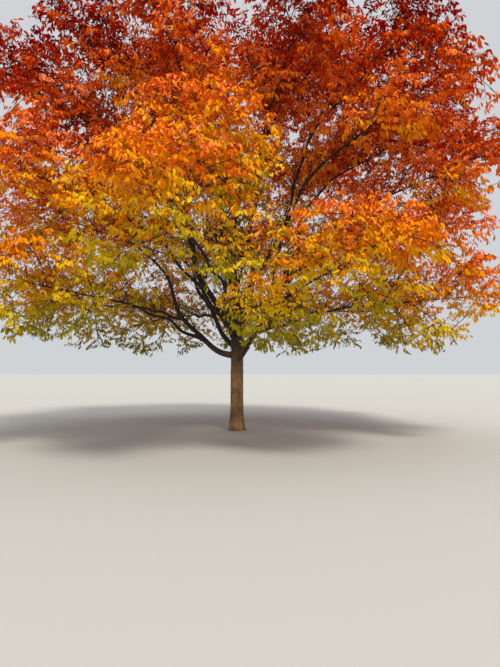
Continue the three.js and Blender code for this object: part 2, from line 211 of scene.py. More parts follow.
def seeded(seed):
    """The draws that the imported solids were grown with."""
    state = (seed * 2654435761) & 0xFFFFFFFF

    def draw():
        nonlocal state
        state = (state * 1664525 + 1013904223) & 0xFFFFFFFF
        return state / 4294967296

    return draw


MIDDLES = np.array([[*(heading(b.compass, 0.0)[:2] * b.reach), b.height] for b in BOUGHS])
RADII = np.array([b.radius for b in BOUGHS])


def room_along(mass, points, headings):
    """How far each line goes before it leaves the mass's space."""
    points, headings = np.atleast_2d(points), np.atleast_2d(headings)
    step = headings * SQUASH
    mine = (points - MIDDLES[mass]) * SQUASH
    a = (step**2).sum(-1)
    b = (mine * step).sum(-1)
    c = (mine**2).sum(-1) - RADII[mass] ** 2
    room = np.where(c < 0, (-b + np.sqrt(np.maximum(b * b - a * c, 0.0))) / a, 0.0)
    for other in range(len(BOUGHS)):
        if other == mass:
            continue
        apart = (MIDDLES[other] - MIDDLES[mass]) * SQUASH
        theirs = (points - MIDDLES[other]) * SQUASH
        margin = 2 * SPACE_MARGIN * np.linalg.norm(apart)
        lead = (theirs**2).sum(-1) - RADII[other] ** 2 - c - margin
        closing = 2 * (step * apart).sum(-1)
        room = np.where(lead <= 0, 0.0, room)
        wall = np.where(closing > 1e-9, lead / np.maximum(closing, 1e-9), np.inf)
        room = np.minimum(room, np.maximum(wall, 0.0))
    return room


def inside(mass, points):
    return room_along(mass, points, np.array([[0.0, 0.0, 1.0]])) > 0


print("spaces for", len(MIDDLES), "masses")

# %% [markdown]
# ## Middle lines of the limbs
#
# A bough leaves its carrier at its own angle, bends up towards the light and goes into its mass
# along the line of that mass's stem. A cubic curve does this with four points, and a slow seeded
# sway takes away the ruler-drawn look.

# %% Lines of the trunk and boughs
TRUNK_HEIGHT = 2.55
TRUNK_RADIUS = 0.166
BOUGH_STEPS = 6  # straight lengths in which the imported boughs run
STEM_LIFT = 0.45  # a stem is this much flatter than the line from foot to mass
ENTRY = 0.84  # where the bough ends, of the way from the mass's middle to its edge
PULL = 0.36  # how far a bough keeps its first and last headings, of its span
SWAY = 0.024  # how far it wanders from that line, of its span
SWAY_WAVES = (1.6, 2.1)  # sideways and upwards, along its span
COLLAR, COLLAR_LENGTH = 0.28, 2.2  # how much thicker its foot is, and over how many foot radii
TIP_SHARE = 1 / 80  # its tip radius, of its mass's radius
THINNING = 1.4  # above 1, it thins faster near its foot than near its tip
LINE_LENGTHS = 24  # straight lengths in which a limb's nearness is measured
NEARBY = 0.3  # limbs further away than this aren't measured


def bough_line(index, foot):
    """A bough's middle line and radius, from its foot to where it enters its mass."""
    bough, middle = BOUGHS[index], MIDDLES[index]
    out = middle - foot
    entering = unit(out * np.array([1.0, 1.0, STEM_LIFT]))
    tip = middle - entering * ENTRY * room_along(index, middle, -entering)[0]
    reach = tip - foot
    span = np.linalg.norm(reach)
    leaving = heading(math.degrees(math.atan2(reach[1], reach[0])), bough.rise)
    corners = [foot, foot + leaving * PULL * span, tip - entering * PULL * span, tip]
    sideways = unit(np.array([-reach[1], reach[0], 0.0]))
    upwards = unit(np.cross(reach, sideways))
    draw = seeded(index + 1)
    turns = [draw(), draw()]

    def place(t):
        bend = [(1 - t) ** 3, 3 * t * (1 - t) ** 2, 3 * t * t * (1 - t), t**3]
        line = sum(w * p for w, p in zip(bend, corners))
        fade = SWAY * span * math.sin(math.pi * t) ** 2
        line = line + sideways * fade * math.sin(2 * math.pi * (SWAY_WAVES[0] * t + turns[0]))
        return line + upwards * fade * math.sin(2 * math.pi * (SWAY_WAVES[1] * t + turns[1]))

    def radius(t):
        collar = 1 + COLLAR * math.exp(-t * span / (COLLAR_LENGTH * bough.thick))
        tip_radius = bough.radius * TIP_SHARE
        return (tip_radius + (bough.thick - tip_radius) * (1 - t) ** THINNING) * collar

    return {"place": place, "radius": radius, "span": span, "entering": entering}


def on_carrier(line, share):
    """The foot of a bough: on the trunk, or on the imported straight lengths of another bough."""
    if line is None:
        return np.array([0.0, 0.0, share * TRUNK_HEIGHT])
    step = min(int(share * BOUGH_STEPS), BOUGH_STEPS - 1)
    low, high = line["place"](step / BOUGH_STEPS), line["place"]((step + 1) / BOUGH_STEPS)
    return low + (high - low) * (share * BOUGH_STEPS - step)


lines = {}
for index, bough in enumerate(BOUGHS):
    foot = on_carrier(lines.get(bough.carrier), bough.share)
    lines[bough.name] = bough_line(index, foot)

limbs = [(np.zeros(3), np.array([0.0, 0.0, TRUNK_HEIGHT]), TRUNK_RADIUS)]
for line in lines.values():
    shares = [i / LINE_LENGTHS for i in range(LINE_LENGTHS + 1)]
    for a, b in zip(shares, shares[1:]):
        limbs.append((line["place"](a), line["place"](b), line["radius"](a)))
limb_starts, limb_ends, limb_thick = (np.array(part) for part in zip(*limbs))


def clear_of_limbs(points, gap):
    """True for each point that keeps the gap from every limb."""
    free = np.ones(len(points), bool)
    low, high = points.min(0) - NEARBY, points.max(0) + NEARBY
    near = ((limb_ends > low) & (limb_starts < high)).all(-1) | (
        (limb_starts > low) & (limb_ends < high)
    ).all(-1)
    for a, b, thick in zip(limb_starts[near], limb_ends[near], limb_thick[near]):
        along = b - a
        t = np.clip(((points - a) @ along) / (along @ along), 0.0, 1.0)
        free &= np.linalg.norm(points - (a + t[:, None] * along), axis=1) > thick + gap
    return free


spans = sorted(line["span"] for line in lines.values())
print("the boughs span from", round(spans[0], 2), "to", round(spans[-1], 2), "m")

# %% [markdown]
# ## Bark
#
# The bark of a cherry is smooth and brown and marked across with rough bands of pores. Up at the fork
# and on the boughs it is painted much darker, as painted shade of the crown. An image could be
# wrapped round, but noise in a space that follows the limb has no seam: each vertex keeps its place
# round the limb and its distance along it. Noise that is squeezed along the limb gives the bands, and
# noise that is drawn out along it gives the fine grain.

# %% Helpers for shader nodes
BLACK, WHITE = (0.0, 0.0, 0.0), (1.0, 1.0, 1.0)
MIX_SOCKETS = {"RGBA": (0, 6, 7, 2), "FLOAT": (0, 2, 3, 0)}  # factor, first, second, result


def stretched_noise(tree, place, squeeze, scale, detail):
    mapping = tree.nodes.new("ShaderNodeMapping")
    mapping.inputs["Scale"].default_value = squeeze
    pattern = tree.nodes.new("ShaderNodeTexNoise")
    pattern.inputs["Scale"].default_value = scale
    pattern.inputs["Detail"].default_value = detail
    tree.links.new(place, mapping.inputs["Vector"])
    tree.links.new(mapping.outputs["Vector"], pattern.inputs["Vector"])
    return pattern.outputs["Fac"]


def ramp(tree, factor, low, high, first=BLACK, last=WHITE):
    node = tree.nodes.new("ShaderNodeValToRGB")
    node.color_ramp.elements[0].position = low
    node.color_ramp.elements[0].color = (*first, 1.0)
    node.color_ramp.elements[1].position = high
    node.color_ramp.elements[1].color = (*last, 1.0)
    tree.links.new(factor, node.inputs["Fac"])
    return node.outputs["Color"]


def mixed(tree, factor, first, second, kind="MIX", data="RGBA"):
    node = tree.nodes.new("ShaderNodeMix")
    node.data_type = data
    node.blend_type = kind
    factor_at, first_at, second_at, out_at = MIX_SOCKETS[data]
    for socket, value in ((factor_at, factor), (first_at, first), (second_at, second)):
        if isinstance(value, bpy.types.NodeSocket):
            tree.links.new(value, node.inputs[socket])
        else:
            node.inputs[socket].default_value = value
    return node.outputs[out_at]


print("nodes for noise, ramps and mixes")

# %% The bark pattern
TAKEN = {"Dark": "Color", "Light": "Color", "Bands": "Color", "Place": "Vector", "Height": "Float"}
PUT_OUT = {"Color": "Color", "Roughness": "Float", "Relief": "Float"}
PAINTED_SHADE_HEIGHTS = (1.6, 2.5)  # painted shade of the crown: the bark darkens between these heights
RAGGED = 0.7  # how much lower the painted shade starts in the brightest patches, in metres
# the colour of the painted shade, which multiplies the bark's colour up in the crown
PAINTED_SHADE_COLOUR = (0.10, 0.095, 0.10)
# how each noise is squeezed, its scale and its detail
PATCHES, GRAIN, BANDS = ((1, 1, 0.6), 5.0, 4.0), ((1, 1, 0.10), 90.0, 5.0), ((1, 1, 9.0), 6.0, 3.0)
PATCH_EDGES, BAND_EDGES, GRAIN_EDGES = (0.38, 0.66), (0.57, 0.70), (0.28, 0.68)
GRAIN_SHADES = (0.56, 0.53, 0.50), (1.18, 1.16, 1.12)
BAND_RELIEF = 0.55  # the rest is the grain's
SMOOTH, ROUGH = 0.62, 0.9


def painted_crown_shade(group, patches, height):
    """White low on the tree and the painted shade of the crown above, with a ragged edge between
    them.
    """
    ragged = group.nodes.new("ShaderNodeMath")
    ragged.operation = "MULTIPLY_ADD"
    ragged.inputs[1].default_value = RAGGED
    group.links.new(patches, ragged.inputs[0])
    group.links.new(height, ragged.inputs[2])
    upper = group.nodes.new("ShaderNodeMapRange")
    upper.inputs["From Min"].default_value = PAINTED_SHADE_HEIGHTS[0]
    upper.inputs["From Max"].default_value = PAINTED_SHADE_HEIGHTS[1]
    group.links.new(ragged.outputs[0], upper.inputs["Value"])
    return mixed(group, upper.outputs["Result"], (*WHITE, 1.0), (*PAINTED_SHADE_COLOUR, 1.0))


def bark_pattern():
    group = bpy.data.node_groups.new("cherry_bark_pattern", "ShaderNodeTree")
    for way, sockets in (("INPUT", TAKEN), ("OUTPUT", PUT_OUT)):
        for name, kind in sockets.items():
            group.interface.new_socket(name, in_out=way, socket_type="NodeSocket" + kind)
    given = group.nodes.new("NodeGroupInput").outputs
    result = group.nodes.new("NodeGroupOutput").inputs
    patches, grain, pores = (
        stretched_noise(group, given["Place"], *waves) for waves in (PATCHES, GRAIN, BANDS)
    )
    bands = ramp(group, pores, *BAND_EDGES)
    colour = mixed(group, ramp(group, patches, *PATCH_EDGES), given["Dark"], given["Light"])
    colour = mixed(group, bands, colour, given["Bands"])
    grain_shade = ramp(group, grain, *GRAIN_EDGES, *GRAIN_SHADES)
    colour = mixed(group, 1.0, colour, grain_shade, kind="MULTIPLY")
    # painted shade of the crown, which darkens the fork and the boughs
    shade = painted_crown_shade(group, patches, given["Height"])
    colour = mixed(group, 1.0, colour, shade, kind="MULTIPLY")
    group.links.new(colour, result["Color"])
    group.links.new(mixed(group, BAND_RELIEF, grain, bands, data="FLOAT"), result["Relief"])
    group.links.new(mixed(group, bands, SMOOTH, ROUGH, data="FLOAT"), result["Roughness"])
    return group


bark_group = bark_pattern()
print("bark group with", len(bark_group.nodes), "nodes")

# %% The bark material
BUMP = 0.6


def srgb(red, green, blue):
    channels = np.array([red, green, blue]) / 255.0
    linear = np.where(channels <= 0.04045, channels / 12.92, ((channels + 0.055) / 1.055) ** 2.4)
    return tuple(float(c) for c in linear)


def bark_material(name, dark, light, bands, relief):
    material = bpy.data.materials.new(name)
    material.use_nodes = True
    tree = material.node_tree
    shader = tree.nodes["Principled BSDF"]
    group = tree.nodes.new("ShaderNodeGroup")
    group.node_tree = bark_group
    for socket, colour in (("Dark", dark), ("Light", light), ("Bands", bands)):
        group.inputs[socket].default_value = (*colour, 1.0)
    place = tree.nodes.new("ShaderNodeAttribute")
    place.attribute_name = "bark_place"
    whole = tree.nodes.new("ShaderNodeTexCoord")
    parts = tree.nodes.new("ShaderNodeSeparateXYZ")
    bump = tree.nodes.new("ShaderNodeBump")
    bump.inputs["Strength"].default_value = BUMP
    bump.inputs["Distance"].default_value = relief
    link = tree.links.new
    link(place.outputs["Vector"], group.inputs["Place"])
    link(whole.outputs["Object"], parts.inputs["Vector"])
    link(parts.outputs["Z"], group.inputs["Height"])
    link(group.outputs["Color"], shader.inputs["Base Color"])
    link(group.outputs["Roughness"], shader.inputs["Roughness"])
    link(group.outputs["Relief"], bump.inputs["Height"])
    link(bump.outputs["Normal"], shader.inputs["Normal"])
    return material


trunk_bark = bark_material(
    "trunk_bark", srgb(118, 84, 50), srgb(182, 140, 90), srgb(98, 70, 44), 0.006
)
# The boughs' bark is greyer than the trunk's, and a little darker as painted shade of the crown.
bough_bark = bark_material(
    "bough_bark", srgb(112, 80, 54), srgb(160, 122, 86), srgb(84, 62, 46), 0.004
)
print("materials", trunk_bark.name, bough_bark.name)

# %% [markdown]
# ## Limbs with relief
#
# A limb could be a curve with a bevel, but then its foot, flare and lumps would all be round. Here
# a circle is extruded ring by ring along the limb's line. Afterwards every vertex moves in or out
# a little: slow lumps, long flutes under the boughs, and the swollen rings that cherry bark makes.

# %% Extrude a limb and shape its surface
LEAST_LEAN = 0.05  # of a normal from upright, below which its vertex stays
# waves in a metre across the limb and along it, and where the noise starts
LUMPS, FLUTES, RINGS = (9, 2.2, 0.0), (24, 0.9, 7.0), (3, 34, 3.0)
LUMP_SHARE, FLUTE_SHARE = 0.9, 0.7


def ring_matrix(point, along, across, radius):
    side = across.cross(along)
    turn = Matrix((across, side, along)).transposed().to_4x4()
    return Matrix.Translation(point) @ turn @ Matrix.Diagonal((radius, radius, radius, 1.0))


def noise_at(place, waves):
    across, along, start = waves
    return noise.noise(Vector((place.x * across, place.y * across, place.z * along + start)))


def relief(place, depth, ring_depth):
    slow = LUMP_SHARE * noise_at(place, LUMPS) + FLUTE_SHARE * noise_at(place, FLUTES)
    return depth * slow + ring_depth * max(noise_at(place, RINGS), 0.0)


def next_ring(bm, edges):
    """Extrudes a ring of edges and returns the new ring's vertices and edges."""
    grown = bmesh.ops.extrude_edge_only(bm, edges=edges)["geom"]
    ring = [part for part in grown if isinstance(part, bmesh.types.BMVert)]
    corners = set(ring)
    grown_edges = [part for part in grown if isinstance(part, bmesh.types.BMEdge)]
    return ring, [edge for edge in grown_edges if set(edge.verts) <= corners]


def extrude_limb(bm, place_layer, stations, sides):
    """A closed limb, whose vertices keep their place on the bark."""
    ring = bmesh.ops.create_circle(bm, segments=sides, radius=1.0)["verts"]
    girth = max(radius for _, radius, _ in stations[len(stations) // 4:])
    for vertex in ring:
        vertex[place_layer] = (vertex.co.x * girth, vertex.co.y * girth, 0.0)
    edges = list(bm.edges)
    bottom = list(edges)
    points = [Vector(point) for point, _, _ in stations]
    across = Vector((1.0, 0.0, 0.0))
    last = Matrix.Identity(4)
    for i, (_, radius, distance) in enumerate(stations):
        along = (points[min(i + 1, len(points) - 1)] - points[max(i - 1, 0)]).normalized()
        across = (across - along * across.dot(along)).normalized()
        now = ring_matrix(points[i], along, across, radius)
        if i:
            ring, edges = next_ring(bm, edges)
        bmesh.ops.transform(bm, matrix=now @ last.inverted(), verts=ring)
        for vertex in ring:
            vertex[place_layer].z = distance
        last = now
    bmesh.ops.edgeloop_fill(bm, edges=bottom)
    bmesh.ops.edgeloop_fill(bm, edges=edges)
    bmesh.ops.recalc_face_normals(bm, faces=bm.faces)
    bm.normal_update()


def move_surface(bm, place_layer, depth, ring_depth, shape):
    """Moves every vertex by the relief, and only sideways where the limb has a shape of its own."""
    moves = []
    for vertex in bm.verts:
        place = vertex[place_layer]
        shift = relief(place, depth, ring_depth)
        if shape:
            shift += shape(place)
        way = Vector((vertex.normal.x, vertex.normal.y, 0.0)) if shape else vertex.normal
        moves.append(way.normalized() * shift if way.length > LEAST_LEAN else Vector())
    for vertex, move in zip(bm.verts, moves):
        vertex.co += move


def limb_piece(name, stations, sides, material, depth, ring_depth, shape=None):
    """stations: (point, radius, distance along the limb) for each ring."""
    bm = bmesh.new()
    place_layer = bm.verts.layers.float_vector.new("bark_place")
    extrude_limb(bm, place_layer, stations, sides)
    move_surface(bm, place_layer, depth, ring_depth, shape)
    mesh = bpy.data.meshes.new(name)
    bm.to_mesh(mesh)
    bm.free()
    mesh.shade_smooth()
    mesh.materials.append(material)
    return placed(name, mesh)


def stand_for(piece, node):
    """The piece rides on the fixed tree and is shown in place of its solid."""
    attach(piece, "root")
    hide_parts(node)


print("limbs are made by extruding a circle")

# %% [markdown]
# ## The trunk
#
# It stands straight, flares into five low root ridges, and carries a faint swollen ring below the
# first boughs, where the tree was once grafted. Its relief only moves sideways, so that the cut at
# the ground stays flat.

# %% Trunk
TRUNK_NARROWING = 0.018  # how much less its radius is at the fork
FLARE, FLARE_HEIGHT = 0.062, 0.240  # the root flare at the ground, and how high it fades
TOP_ROUNDING, TOP_CLOSING = 0.170, 0.82  # the height over which the top closes, and how far
GRAFT_HEIGHT = 1.45
GRAFT_SWELLING, GRAFT_WIDTH = 0.008, 0.05
ROOT_RIDGES, RIDGE_DEPTH, RIDGE_TURN = 5, 0.16, 0.6
SLOW_RIDGES, SLOW_DEPTH = 3, 0.12
TRUNK_SIDES = 64
TRUNK_RING_GAP = 0.025
TRUNK_RELIEF, TRUNK_RINGS = 0.0055, 0.0035


def flare_at(height):
    return FLARE * math.exp(-height / FLARE_HEIGHT)


def trunk_radius(height):
    top = max(0.0, (height - (TRUNK_HEIGHT - TOP_ROUNDING)) / TOP_ROUNDING)
    graft = GRAFT_SWELLING * math.exp(-(((height - GRAFT_HEIGHT) / GRAFT_WIDTH) ** 2))
    body = TRUNK_RADIUS - TRUNK_NARROWING * height / TRUNK_HEIGHT + flare_at(height) + graft
    return body * math.sqrt(1 - TOP_CLOSING * top * top)


def root_ridges(place):
    angle = math.atan2(place.y, place.x)
    ridges = RIDGE_DEPTH * math.cos(ROOT_RIDGES * angle + RIDGE_TURN)
    return flare_at(place.z) * (ridges + SLOW_DEPTH * math.cos(SLOW_RIDGES * angle))


heights = np.linspace(0.0, TRUNK_HEIGHT, round(TRUNK_HEIGHT / TRUNK_RING_GAP) + 1)
trunk = limb_piece(
    "trunk_with_bark",
    [((0.0, 0.0, h), trunk_radius(h), h) for h in heights],
    TRUNK_SIDES,
    trunk_bark,
    TRUNK_RELIEF,
    TRUNK_RINGS,
    root_ridges,
)
stand_for(trunk, "trunk")
print("trunk with", len(trunk.data.polygons), "faces")

# %% [markdown]
# ## The boughs
#
# Each bough starts inside the limb that carries it, so that the two grow together in a collar, and
# runs a little way into its mass, where its stem takes over. Thicker boughs get more sides and a
# deeper relief than thin ones.

# %% Boughs
BOUGH_RING_GAP = 0.09
LEAST_RINGS = 24
FIRST_SIDES, LATER_SIDES = 20, 14
BOUGH_RELIEF, BOUGH_RINGS = 0.045, 0.03  # of the bough's radius at its foot


def bough_stations(line):
    count = max(LEAST_RINGS, round(line["span"] / BOUGH_RING_GAP))
    shares = [i / count for i in range(count + 1)]
    points = [line["place"](t) for t in shares]
    steps = np.linalg.norm(np.diff(points, axis=0), axis=1)
    distances = np.concatenate([[0.0], np.cumsum(steps)])
    return [(p, line["radius"](t), float(d)) for p, t, d in zip(points, shares, distances)]


bough_faces = 0
for bough in BOUGHS:
    piece = limb_piece(
        "bough_" + bough.name + "_with_bark",
        bough_stations(lines[bough.name]),
        FIRST_SIDES if bough.carrier == "trunk" else LATER_SIDES,
        bough_bark,
        BOUGH_RELIEF * bough.thick,
        BOUGH_RINGS * bough.thick,
    )
    stand_for(piece, "bough_" + bough.name)
    bough_faces += len(piece.data.polygons)
print(len(BOUGHS), "boughs with", bough_faces, "faces")

# %% [markdown]
# ## Tints
#
# Each spray gets one plain colour. A painted pattern would have to be baked on hundreds of
# thousands of tiny faces. The list runs in the order in which leaves turn: the shaded inside is
# still green-gold, and the top has gone through orange to crimson.

# %% Leaf materials in the order of turning
TINTS = [
    ("green_gold", srgb(164, 152, 28)),
    ("dull_gold", srgb(206, 176, 26)),
    ("yellow", srgb(228, 188, 32)),
    ("gold", srgb(236, 172, 22)),
    ("amber", srgb(232, 148, 18)),
    ("orange", srgb(242, 136, 16)),
    ("salmon", srgb(250, 128, 56)),
    ("tangerine", srgb(226, 98, 12)),
    ("rust", srgb(204, 76, 10)),
    ("flame", srgb(198, 56, 8)),
    ("red", srgb(178, 36, 8)),
    ("crimson", srgb(152, 24, 12)),
]
LEAF_ROUGHNESS, LEAF_SHINE = 0.55, 0.0
leaf_materials = [
    plain_material("leaf_" + name, colour, LEAF_ROUGHNESS, LEAF_SHINE) for name, colour in TINTS
]
TWIG_ROUGHNESS = 0.8
twig_bark = plain_material("twig_bark", srgb(46, 32, 24), TWIG_ROUGHNESS)
print(len(leaf_materials), "leaf tints")

# %% [markdown]
# ## Twigs, shoots and leaves as arrays
#
# This tree gets about two hundred thousand leaves. As many objects or particles would be far too
# slow, so all the leaves of a mass are worked out together as arrays of numbers and put into a
# single mesh, and so are its twigs. A twig is a tube that closes to a point, and a leaf is a fan of
# four faces from its foot, which follow its outline and fold along its midrib.

# %% Meshes from arrays
def mesh_piece(name, vertices, triangles, materials, slots=None):
    mesh = bpy.data.meshes.new(name)
    mesh.vertices.add(len(vertices))
    mesh.vertices.foreach_set("co", np.ascontiguousarray(vertices, np.float32).ravel())
    mesh.loops.add(triangles.size)
    mesh.loops.foreach_set("vertex_index", np.ascontiguousarray(triangles, np.int32).ravel())
    mesh.polygons.add(len(triangles))
    mesh.polygons.foreach_set("loop_start", np.arange(0, triangles.size, 3, dtype=np.int32))
    for material in materials:
        mesh.materials.append(material)
    if slots is not None:
        mesh.polygons.foreach_set("material_index", np.ascontiguousarray(slots, np.int32))
    mesh.update(calc_edges=True)
    return placed(name, mesh)


def frames(along):
    """Two directions across each heading, the first one level."""
    tiny = np.full(along.shape[:-1], 1e-6)  # so that an upright heading has one too
    level = unit(np.stack([-along[..., 1], along[..., 0], tiny], -1))
    return level, np.cross(along, level)


def tube_faces(points, sides):
    """The faces of one twig: its walls, the point at its tip and its flat foot."""
    walls = []
    for ring in range(points - 2):
        for s in range(sides):
            a, b = ring * sides + s, ring * sides + (s + 1) % sides
            walls += [(a, b, b + sides), (a, b + sides, a + sides)]
    top, tip = (points - 2) * sides, (points - 1) * sides
    point = [(top + s, top + (s + 1) % sides, tip) for s in range(sides)]
    return np.array(walls + point + [(0, s + 1, s) for s in range(1, sides - 1)])


def tubes(paths, radii, sides):
    """Closed twigs that end in a point: paths (n, k, 3), radii (n, k - 1)."""
    n, k = paths.shape[:2]
    along = unit(np.gradient(paths, axis=1))[:, :-1]
    level, upright = frames(along)
    angles = np.arange(sides) * 2 * np.pi / sides
    spokes = (
        np.cos(angles)[None, None, :, None] * level[:, :, None]
        + np.sin(angles)[None, None, :, None] * upright[:, :, None]
    )
    rings = paths[:, :-1, None] + spokes * radii[:, :, None, None]
    vertices = np.concatenate([rings.reshape(n, -1, 3), paths[:, -1:]], axis=1)
    faces = tube_faces(k, sides) + (np.arange(n) * vertices.shape[1])[:, None, None]
    return vertices.reshape(-1, 3), faces.reshape(-1, 3)


def joined(parts):
    """Several sets of tubes as one set of vertices and faces."""
    offsets = np.cumsum([0] + [len(vertices) for vertices, _ in parts[:-1]])
    faces = [faces + offset for (_, faces), offset in zip(parts, offsets)]
    return np.concatenate([vertices for vertices, _ in parts]), np.concatenate(faces)


print("a three-sided twig of five points has", len(tube_faces(5, 3)), "faces")

# %% The shape of a leaf
# how far each corner lies along the leaf, to its side and below its midrib
RIGHT_EDGE = [(0.30, 0.46, 0.10), (0.66, 0.40, 0.14)]
LEFT_EDGE = [(0.66, -0.40, 0.14), (0.30, -0.46, 0.10)]
LEAF_OUTLINE = np.array([(0.0, 0.0, 0.0), *RIGHT_EDGE, (1.0, 0.0, 0.10), *LEFT_EDGE])
LEAF_FACES = np.array([(0, 2, 1), (0, 3, 2), (0, 4, 3), (0, 5, 4)])
LEAF_TIP = 3


def leaves(feet, heads, across, lengths, widths):
    """The corners of every leaf, from its foot, its heading and the way across it."""
    up = np.cross(heads, across)
    ahead, aside, below = (LEAF_OUTLINE[None, :, axis, None] for axis in range(3))
    lengths, widths = lengths[:, None, None], widths[:, None, None]
    return (
        feet[:, None]
        + heads[:, None] * ahead * lengths
        + across[:, None] * aside * widths
        - up[:, None] * below * widths
    )


print("a leaf has", len(LEAF_OUTLINE), "corners and", len(LEAF_FACES), "faces")

# %% [markdown]
# ## The rule, carried on to finer twigs
#
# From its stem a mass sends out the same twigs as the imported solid, drawn from the same seed. Where
# the solid puts one great leaf, the twig goes on: side twigs leave it by turns, branchlets leave
# those, shoots leave the branchlets, and the leaves hang from the shoots. Nothing that grows from
# the stem is longer than the room that it has in the mass's space.

# %% Stem and twigs of a mass
# gap along the carrier, angles from it at its foot and at its tip, least and greatest rise, length
Rule = namedtuple("Rule", "gap angles rises longest")
MAIN_TWIG = Rule(None, (92, 46), (14, 40), None)  # a set number on each stem, as long as their room
MAIN_TWIGS = 6
FIRST_STEP = 0.55  # of a gap, from the carrier's foot to the first twig
STEP_SCATTER, ANGLE_SCATTER = 0.5, 20  # of a gap, and in degrees
STEM_END = 0.3  # of the room past the middle of the mass
STEM_NARROWING = 0.4
STEM_RISE_KEPT = 0.5  # of the stem's rise, by its twigs
LAST_TWIG = 0.99  # of the stem's length
TWIG_ROOM = 0.975  # of its room that a twig takes up
TWIG_SHARE = 0.66  # of the stem's radius
MASS_SEED, GROWTH_SEED = 100, 4000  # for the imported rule, and for everything finer


def step_along(turn, count, chance):
    """Where the twig leaves, as a share of the carrier's length; chance runs from 0 to 1."""
    return (turn + FIRST_STEP + STEP_SCATTER * (chance - 0.5)) / count


def way_by_turns(turn, t, rule, aside_chance, up_chance):
    """Degrees aside, left and right by turns, and degrees up or down by pairs."""
    (at_foot, at_tip), (least, greatest) = rule.angles, rule.rises
    aside = np.where(turn % 2, -1, 1) * (at_foot + (at_tip - at_foot) * t)
    up = np.where(turn // 2 % 2, -1, 1) * (least + (greatest - least) * up_chance)
    return aside + ANGLE_SCATTER * (aside_chance - 0.5), up


def stem_and_twigs(index):
    """The stem's start, end, heading and radius, and each twig's foot, heading, length, radius."""
    place, entering = lines[BOUGHS[index].name]["place"], lines[BOUGHS[index].name]["entering"]
    draw = seeded(MASS_SEED + index)
    start = place(1.0)
    end = MIDDLES[index] + entering * STEM_END * room_along(index, MIDDLES[index], entering)[0]
    tip_radius = BOUGHS[index].radius * TIP_SHARE
    twigs = []
    for k in range(MAIN_TWIGS + 1):
        t, aside, up = LAST_TWIG, 0.0, 0.0
        if k < MAIN_TWIGS:
            t = step_along(k, MAIN_TWIGS, draw())
            aside, up = way_by_turns(k, t, MAIN_TWIG, draw(), draw())
        foot = start + (end - start) * t
        along = turned(entering, aside, STEM_RISE_KEPT * rises(entering) + up)
        radius = TWIG_SHARE * tip_radius * (1 - STEM_NARROWING * t)
        length = TWIG_ROOM * room_along(index, foot, along)[0]
        twigs.append((foot, along, length, radius))
    return start, end, entering, tip_radius, twigs


print("each mass has", MAIN_TWIGS + 1, "twigs from its stem")

# %% Finer twigs by the same rule
SIDE_TWIG = Rule(0.31, (80, 34), (4, 62), 1.7)
BOUGH_TWIG = Rule(0.34, (66, 40), (8, 46), 1.25)
BRANCHLET = Rule(0.19, (74, 34), (4, 52), 0.74)
SHOOT = Rule(0.085, (62, 30), (2, 30), 0.38)
LEAST_TWIGS = 2  # on each carrier
CARRIER_BARE = 0.08  # of the carrier's length, from its foot
RISE_KEPT = 0.6  # of the carrier's rise
SHORTENING = 0.5  # towards the carrier's tip
LENGTH_FROM, LENGTH_SPREAD = 0.7, 0.6  # of the rule's length, by chance
ROOM_USED = 0.97
SIDE_BOW, UP_BOW = 0.5, 0.3  # so bows go to both sides alike, and up more than down


def by_turns(rng, carriers, rule):
    """Feet, headings, lengths and owners of the twigs that leave each carrier by turns."""
    feet, along, lengths = carriers[:3]
    counts = np.maximum(LEAST_TWIGS, np.round(lengths / rule.gap).astype(int))
    owner = np.repeat(np.arange(len(feet)), counts)
    turn = np.concatenate([np.arange(count) for count in counts])
    t = step_along(turn, counts[owner], rng.random(len(owner)))
    t = np.clip(CARRIER_BARE + (1 - CARRIER_BARE) * t, 0.0, 1.0)
    aside, up = way_by_turns(turn, t, rule, rng.random(len(owner)), rng.random(len(owner)))
    new_feet = feet[owner] + along[owner] * (lengths[owner] * t)[:, None]
    new_along = turned(along[owner], aside, RISE_KEPT * rises(along[owner]) + up)
    share = LENGTH_FROM + LENGTH_SPREAD * rng.random(len(owner))
    return new_feet, new_along, rule.longest * (1 - SHORTENING * t) * share, owner


def tips(growth):
    return growth[0] + growth[1] * growth[2][:, None]


def kept(growth, keep):
    return tuple(part[keep] for part in growth)


def clear(growth, gap):
    """The twigs whose tips are this far from every limb."""
    return kept(growth, clear_of_limbs(tips(growth), gap))


def within(mass, growth, least):
    """The same twigs, cut to the room that they have in the mass; too short ones are left out."""
    feet, along, lengths, owner = growth
    lengths = np.minimum(lengths, ROOM_USED * room_along(mass, feet, along))
    return kept((feet, along, lengths, owner), lengths > least)


def together(*growths):
    return tuple(np.concatenate(parts) for parts in zip(*growths))


def curved(rng, growth, points, bow):
    """Paths with a slight bow, so that no twig is a ruler line."""
    feet, along, lengths = growth[:3]
    level, upright = frames(along)
    lean = level * (rng.random((len(feet), 1)) - SIDE_BOW)
    lean = lean + upright * (rng.random((len(feet), 1)) - UP_BOW)
    t = np.linspace(0.0, 1.0, points)
    arc = (t - t * t)[None, :, None] * (bow * lengths)[:, None, None] * lean[:, None]
    return feet[:, None] + along[:, None] * (lengths[:, None] * t)[:, :, None] + arc


print("finer twigs follow the same rule")

# %% [markdown]
# ## Where shoots live
#
# The crown of a big tree is a shell of leaves over bare limbs, because little light comes inside.
# We look out from the heart of the crown, find how far it reaches that way, and give each shoot a
# chance to live that grows with its share of that way and with its height. Where shoots crowd, only
# the first few in each small cell live, and more of them out in the light than inside.

# %% Light and crowding
HEART = np.array([0.0, 0.0, 4.4])
DARK_SHARE = 0.50  # of the way out, where only a few shoots live
LIT_SHARE = 0.80  # where all of them live
DARK_CHANCE = 0.13
LIGHT_FROM_ABOVE = 0.04  # share of the way out that a metre of height is worth
CELL = 0.27
SHOOTS_IN_A_CELL = (1, 3)  # at most, inside and out in the light
OUTER_SHARE = 0.82  # further out than this, more shoots share a cell
EDGE_SHARE = 0.94  # as far out as a twig from a bough may go
LEAST_EDGE = 0.5  # from the heart to the crown's edge


